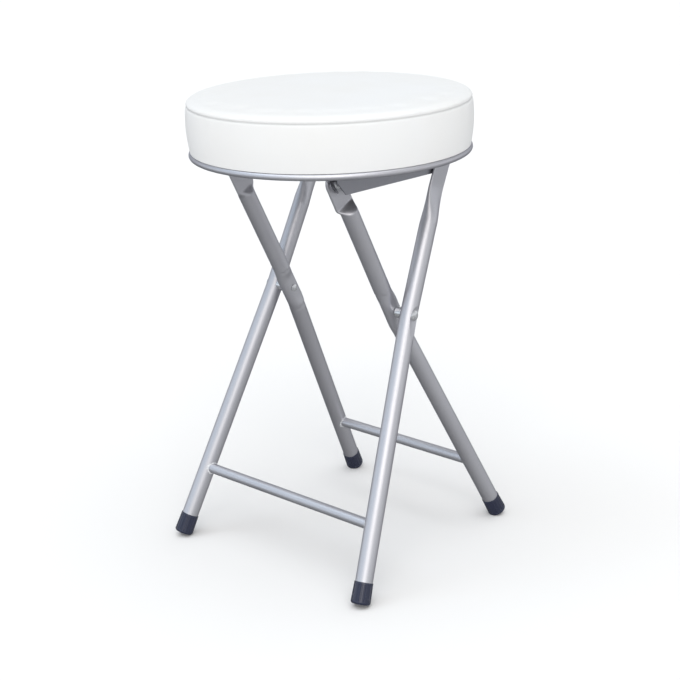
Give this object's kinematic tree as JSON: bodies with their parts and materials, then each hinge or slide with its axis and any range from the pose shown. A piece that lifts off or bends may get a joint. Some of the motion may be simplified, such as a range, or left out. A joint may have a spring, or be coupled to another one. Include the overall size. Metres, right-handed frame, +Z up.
{
  "type": "folding stool",
  "caption": "Round padded folding stool: crossing steel tube legs scissor flat while the seat hinges up on its rear rivets, with crossbars and plastic foot caps.",
  "frame": {"origin": "on the floor, under the middle of the seat's rails", "axes": "+Z up, +X along the hinge axes, -Y the front, where the outer legs stand"},
  "size_m": [0.2924, 0.2937, 0.4925],
  "materials": {
    "vinyl": "satin",
    "foam": "matte",
    "board": "matte",
    "silver_paint": "satin",
    "zinc": "satin",
    "cap_plastic": "satin"
  },
  "bodies": {
    "outer_frame": {"outer_leg_left": "silver_paint", "outer_leg_right": "silver_paint", "front_crossbar": "silver_paint", "foot_cap_front_left": "cap_plastic", "foot_cap_front_right": "cap_plastic", "seat_pivot_rivets": "zinc", "seat_pivot_washers": "zinc", "crossing_rivets": "zinc", "crossing_spacers": "zinc"},
    "inner_frame": {"inner_leg_left": "silver_paint", "inner_leg_right": "silver_paint", "rear_crossbar": "silver_paint", "foot_cap_rear_left": "cap_plastic", "foot_cap_rear_right": "cap_plastic", "hook_studs": "zinc", "stud_washers": "zinc"},
    "seat": {"seat_cover_top": "vinyl", "seat_cover_band": "vinyl", "foam_pad": "foam", "seat_board": "board", "seat_pan": "silver_paint", "pan_screws": "zinc", "rail_left": "silver_paint", "rail_right": "silver_paint", "rail_rivets": "zinc"}
  },
  "joints": [
    {"name": "leg_fold", "type": "hinge", "parent": "outer_frame", "child": "inner_frame", "pos_m": [0, 0.0021, 0.2677], "axis": [-1, 0, 0], "range_deg": [0, 48]},
    {"name": "seat_fold", "type": "hinge", "parent": "outer_frame", "child": "seat", "pos_m": [0, 0.0727, 0.415], "axis": [-1, 0, 0], "range_deg": [0, 112.8]}
  ],
  "couplings": [
    {"joint": "seat_fold", "follows": "leg_fold", "ratio": 2.35}
  ]
}
